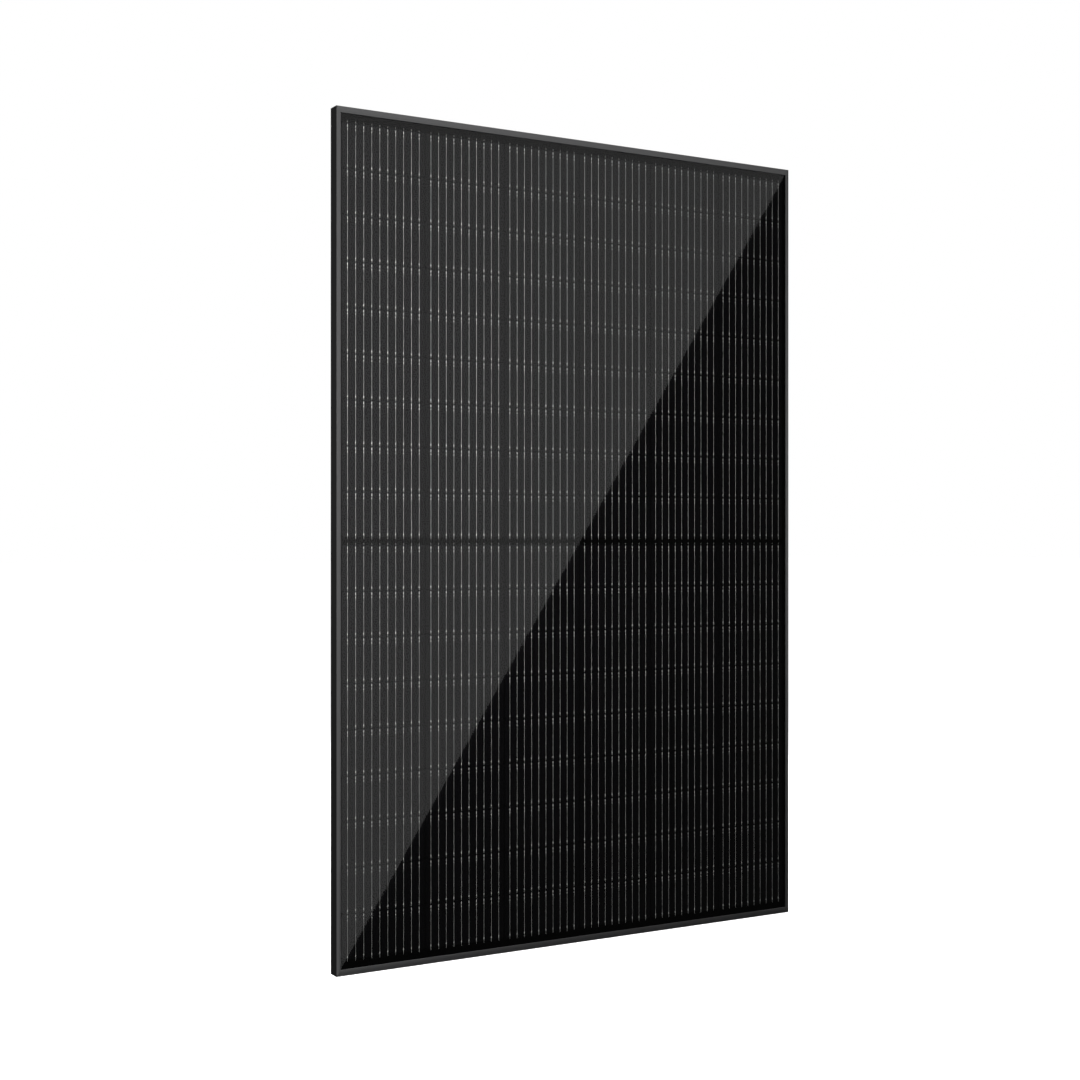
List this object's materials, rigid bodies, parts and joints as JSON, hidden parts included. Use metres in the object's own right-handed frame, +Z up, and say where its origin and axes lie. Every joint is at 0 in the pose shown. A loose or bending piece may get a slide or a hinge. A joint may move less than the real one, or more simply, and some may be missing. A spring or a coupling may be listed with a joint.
{
  "type": "solar panel",
  "caption": "Framed rectangular photovoltaic panel, all black, with a glass front over rows of wired cells, a mitred frame with mounting slots, and junction boxes on the back.",
  "frame": {"origin": "middle of the lower edge: centre of the bounding box's bottom face, with the module upright", "axes": "+X to the right across the width as seen from the front, +Y out of the back (the glass faces -Y), +Z up along the height"},
  "size_m": [1.134, 0.03, 1.722],
  "materials": {
    "frame": "black anodised, satin",
    "corner_key": "mill finish",
    "seal": "black silicone, matt",
    "glass": "tempered, anti-reflective coated",
    "encapsulant": "clear cross-linked film",
    "cell": "nearly black mono-crystalline silicon, nitride coated",
    "ribbon": "tinned copper",
    "backsheet": "black polyester film, fine matt",
    "housing": "black moulded, fine spark texture",
    "diode": "moulded epoxy"
  },
  "bodies": {
    "panel": {"frame_rail_left": "frame", "frame_rail_right": "frame", "frame_rail_top": "frame", "frame_rail_bottom": "frame", "corner_key_bottom_left": "corner_key", "corner_key_bottom_right": "corner_key", "corner_key_top_left": "corner_key", "corner_key_top_right": "corner_key", "edge_seal": "seal", "front_glass": "glass", "front_encapsulant": "encapsulant", "rear_encapsulant": "encapsulant", "backsheet": "backsheet", "cell_string_upper_1": "cell", "cell_string_upper_2": "cell", "cell_string_upper_3": "cell", "cell_string_upper_4": "cell", "cell_string_upper_5": "cell", "cell_string_upper_6": "cell", "cell_string_lower_1": "cell", "cell_string_lower_2": "cell", "cell_string_lower_3": "cell", "cell_string_lower_4": "cell", "cell_string_lower_5": "cell", "cell_string_lower_6": "cell", "bus_ribbon_top_1": "ribbon", "bus_ribbon_top_2": "ribbon", "bus_ribbon_top_3": "ribbon", "bus_ribbon_bottom_1": "ribbon", "bus_ribbon_bottom_2": "ribbon", "bus_ribbon_bottom_3": "ribbon", "bus_ribbon_middle_1": "ribbon", "bus_ribbon_middle_2": "ribbon", "bus_ribbon_middle_3": "ribbon", "bus_ribbon_middle_4": "ribbon", "box_adhesive_left": "seal", "box_base_left": "housing", "terminal_a_left": "ribbon", "terminal_b_left": "ribbon", "bypass_diode_left": "diode", "box_adhesive_centre": "seal", "box_base_centre": "housing", "terminal_a_centre": "ribbon", "terminal_b_centre": "ribbon", "bypass_diode_centre": "diode", "box_adhesive_right": "seal", "box_base_right": "housing", "terminal_a_right": "ribbon", "terminal_b_right": "ribbon", "bypass_diode_right": "diode", "gland_body_left": "housing", "gland_seal_left": "seal", "gland_body_right": "housing", "gland_seal_right": "seal"},
    "lid_left": {"box_lid_left": "housing"},
    "lid_centre": {"box_lid_centre": "housing"},
    "lid_right": {"box_lid_right": "housing"},
    "cap_nut_left": {"gland_nut_left": "housing"},
    "cap_nut_right": {"gland_nut_right": "housing"}
  },
  "joints": [
    {"name": "lid_left_lift", "type": "slide", "parent": "panel", "child": "lid_left", "axis": [0, 1, 0], "range_m": [0, 0.03]},
    {"name": "lid_centre_lift", "type": "slide", "parent": "panel", "child": "lid_centre", "axis": [0, 1, 0], "range_m": [0, 0.03]},
    {"name": "lid_right_lift", "type": "slide", "parent": "panel", "child": "lid_right", "axis": [0, 1, 0], "range_m": [0, 0.03]},
    {"name": "cap_nut_left_turn", "type": "hinge", "parent": "panel", "child": "cap_nut_left", "pos_m": [-0.42162, 0.0005, 0.861], "axis": [-1, 0, 0], "range_deg": [0, 1080]},
    {"name": "cap_nut_right_turn", "type": "hinge", "parent": "panel", "child": "cap_nut_right", "pos_m": [0.42162, 0.0005, 0.861], "axis": [1, 0, 0], "range_deg": [0, 1080]}
  ]
}
